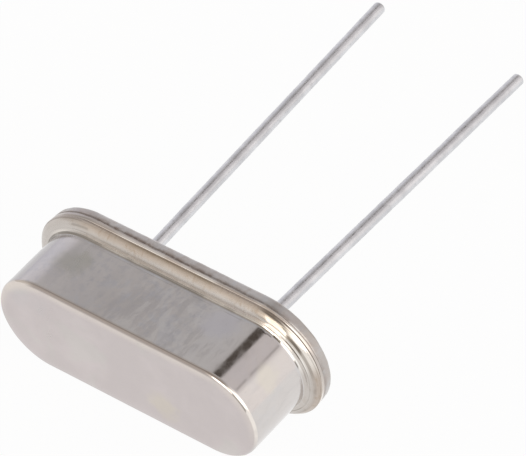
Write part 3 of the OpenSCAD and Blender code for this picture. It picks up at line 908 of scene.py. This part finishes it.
def camera():
    """The view of the part from above its front right, rolled a little."""
    azimuth, elevation = math.radians(35.659), math.radians(37.475)
    roll = math.radians(2.3006)
    distance = 146.362 * MM
    aim_offset = Vector((0.8937, -2.736, 1.7609)) * MM
    level = math.cos(elevation)
    back = Vector((math.sin(azimuth) * level, -math.cos(azimuth) * level, math.sin(elevation)))
    data = bpy.data.cameras.new("camera")
    data.lens = 318.833
    data.sensor_width = 36
    data.clip_start, data.clip_end = 0.01, 10
    made = bpy.data.objects.new("camera", data)
    bpy.context.collection.objects.link(made)
    centre = (cad_box[0] + cad_box[1]) / 2
    made.location = centre + aim_offset + back * distance
    made.rotation_mode = "QUATERNION"
    made.rotation_quaternion = (-back).to_track_quat("-Z", "Y") @ Quaternion((0, 0, 1), roll)
    bpy.context.scene.camera = made


def white_rays(tree):
    """1 for rays from the camera, a reflection or a refraction, and 0 for rays that gather light."""
    path = tree.nodes.new("ShaderNodeLightPath")
    total = path.outputs["Is Camera Ray"]
    for name in ("Is Glossy Ray", "Is Transmission Ray"):
        add = tree.nodes.new("ShaderNodeMath")
        add.operation = "MAXIMUM"
        tree.links.new(total, add.inputs[0])
        tree.links.new(path.outputs[name], add.inputs[1])
        total = add.outputs[0]
    return total


def floor():
    """A large white table: it shows white, and keeps a faint shadow of the part."""
    half = 1.5
    below_part = 0.02 * MM
    white_share = 0.95
    mesh = bmesh.new()
    bmesh.ops.create_grid(mesh, x_segments=1, y_segments=1, size=half)
    data = bpy.data.meshes.new("floor")
    mesh.to_mesh(data)
    mesh.free()
    made = bpy.data.objects.new("floor", data)
    made.location = (0, 0, cad_box[0].z - below_part)
    bpy.context.collection.objects.link(made)
    material = bpy.data.materials.new("floor_white")
    material.use_nodes = True
    tree = material.node_tree
    paper = tree.nodes["Principled BSDF"]
    paper.inputs["Base Color"].default_value = (0.9, 0.9, 0.9, 1)
    paper.inputs["Roughness"].default_value = 0.9
    glow = tree.nodes.new("ShaderNodeEmission")
    share = tree.nodes.new("ShaderNodeMath")
    share.operation = "MULTIPLY"
    share.inputs[1].default_value = white_share
    tree.links.new(white_rays(tree), share.inputs[0])
    mix = tree.nodes.new("ShaderNodeMixShader")
    tree.links.new(share.outputs[0], mix.inputs["Fac"])
    tree.links.new(paper.outputs[0], mix.inputs[1])
    tree.links.new(glow.outputs[0], mix.inputs[2])
    tree.links.new(mix.outputs[0], tree.nodes["Material Output"].inputs["Surface"])
    data.materials.append(material)


class Sky:
    """The world's light, built up from soft patches in given directions."""

    def __init__(self):
        world = bpy.data.worlds.new("studio")
        bpy.context.scene.world = world
        world.use_nodes = True
        self.tree = world.node_tree
        self.direction = self.tree.nodes.new("ShaderNodeTexCoord").outputs["Generated"]
        self.light = None

    def link(self, value, socket):
        if isinstance(value, bpy.types.NodeSocket):
            self.tree.links.new(value, socket)
        else:
            socket.default_value = value

    def rise(self, low, high, first, last):
        """The light goes from the first colour to the last as the height of the direction rises."""
        height = self.tree.nodes.new("ShaderNodeSeparateXYZ")
        self.link(self.direction, height.inputs[0])
        self.light = self.mixed(self.smooth(height.outputs["Z"], low, high), first, last)

    def smooth(self, value, low, high):
        ranged = self.tree.nodes.new("ShaderNodeMapRange")
        ranged.interpolation_type = "SMOOTHSTEP"
        self.link(value, ranged.inputs["Value"])
        ranged.inputs["From Min"].default_value = low
        ranged.inputs["From Max"].default_value = high
        return ranged.outputs[0]

    def mixed(self, share, first, last):
        mix = self.tree.nodes.new("ShaderNodeMix")
        mix.data_type = "RGBA"
        self.link(share, mix.inputs["Factor"])
        self.link(colour(first), mix.inputs["A"])
        self.link(colour(last), mix.inputs["B"])
        return mix.outputs["Result"]

    def patch(self, turn, rise, inner, outer, light):
        """A round patch of light, turn degrees to the right of the front and rise degrees up.

        It is full within inner degrees of its middle, and gone at outer degrees.
        """
        turn, rise = math.radians(turn), math.radians(rise)
        level = math.cos(rise)
        dot = self.tree.nodes.new("ShaderNodeVectorMath")
        dot.operation = "DOT_PRODUCT"
        self.link(self.direction, dot.inputs[0])
        dot.inputs[1].default_value = (math.sin(turn) * level, -math.cos(turn) * level, math.sin(rise))
        edge = [math.cos(math.radians(angle)) for angle in (outer, inner)]
        self.light = self.mixed(self.smooth(dot.outputs["Value"], *edge), self.light, light)

    def finish(self):
        self.link(self.light, self.tree.nodes["Background"].inputs["Color"])


def sky():
    """A grey room with soft white panels in front and to the right, and a dark patch high up behind."""
    made = Sky()
    made.rise(0.0, 0.85, (0.74, 0.71, 0.68), (0.52, 0.50, 0.49))
    # Each patch: turn, rise, where it is full and where it is gone, in degrees, and its light
    for patch in (
        (-130, 12, 8, 44, (0.87, 0.86, 0.905)),
        (-130, 55, 4, 17, (0.60, 0.59, 0.595)),
        (90, 15, 35, 60, (1.06, 1.02, 1.00)),
        (140, 58, 12, 26, (0.72, 0.68, 0.68)),
        (75, 25, 12, 26, (1.80, 1.75, 1.68)),
        (41, 18, 17, 30, (2.10, 2.05, 1.95)),
        (-34, 20, 12, 26, (0.90, 0.87, 0.83)),
        (-8, 10, 11, 20, (1.50, 1.43, 1.33)),
        (-10, 58, 15, 28, (0.46, 0.41, 0.37)),
        (-166, 69.2, 7.0, 9.3, (0.09, 0.075, 0.065)),
        (124, 47, 0.5, 3.0, (0.50, 0.47, 0.46)),
    ):
        made.patch(*patch)
    made.finish()


def panel():
    """A small soft panel that stands on the floor in front of the part."""
    aim = Vector((4.0, -6.3, 4.1)) * MM
    away, turn = 28 * MM, math.radians(-2.5)
    width, height, light = 12.4 * MM, 15.0 * MM, 2.2
    data = bpy.data.lights.new("panel", "AREA")
    data.shape = "RECTANGLE"
    data.size, data.size_y = width, height
    data.energy = light * math.pi * width * height
    data.color = (1.0, 0.965, 0.91)
    made = bpy.data.objects.new("panel", data)
    toward = Vector((math.sin(turn), -math.cos(turn), 0))
    made.location = Vector((aim.x, aim.y, cad_box[0].z + 0.1 * MM + height / 2)) + toward * away
    made.rotation_euler = toward.to_track_quat("Z", "Y").to_euler()
    made.visible_diffuse = False
    bpy.context.collection.objects.link(made)


# ---- Scene ----

can()
base()
wire = lead_metal()
glass = seal_glass()
for side, name in ((-1, "left"), (1, "right")):
    glass_seal(side, f"glass_seal_{name}", glass)
    lead(side, f"lead_{name}", wire)

inner_materials = {
    clip_metal(): ["clip_left", "clip_right"],
    quartz(): ["quartz_strip"],
    silver_film(): ["electrode_can_side", "electrode_base_side"],
    conductive_adhesive(): ["adhesive_left", "adhesive_right"],
}
for material, names in inner_materials.items():
    for name in names:
        for material_slot in frame["nodes"][name].material_slots:
            material_slot.material = material

floor()
sky()
panel()
camera()
bpy.context.scene.view_settings.view_transform = "Standard"
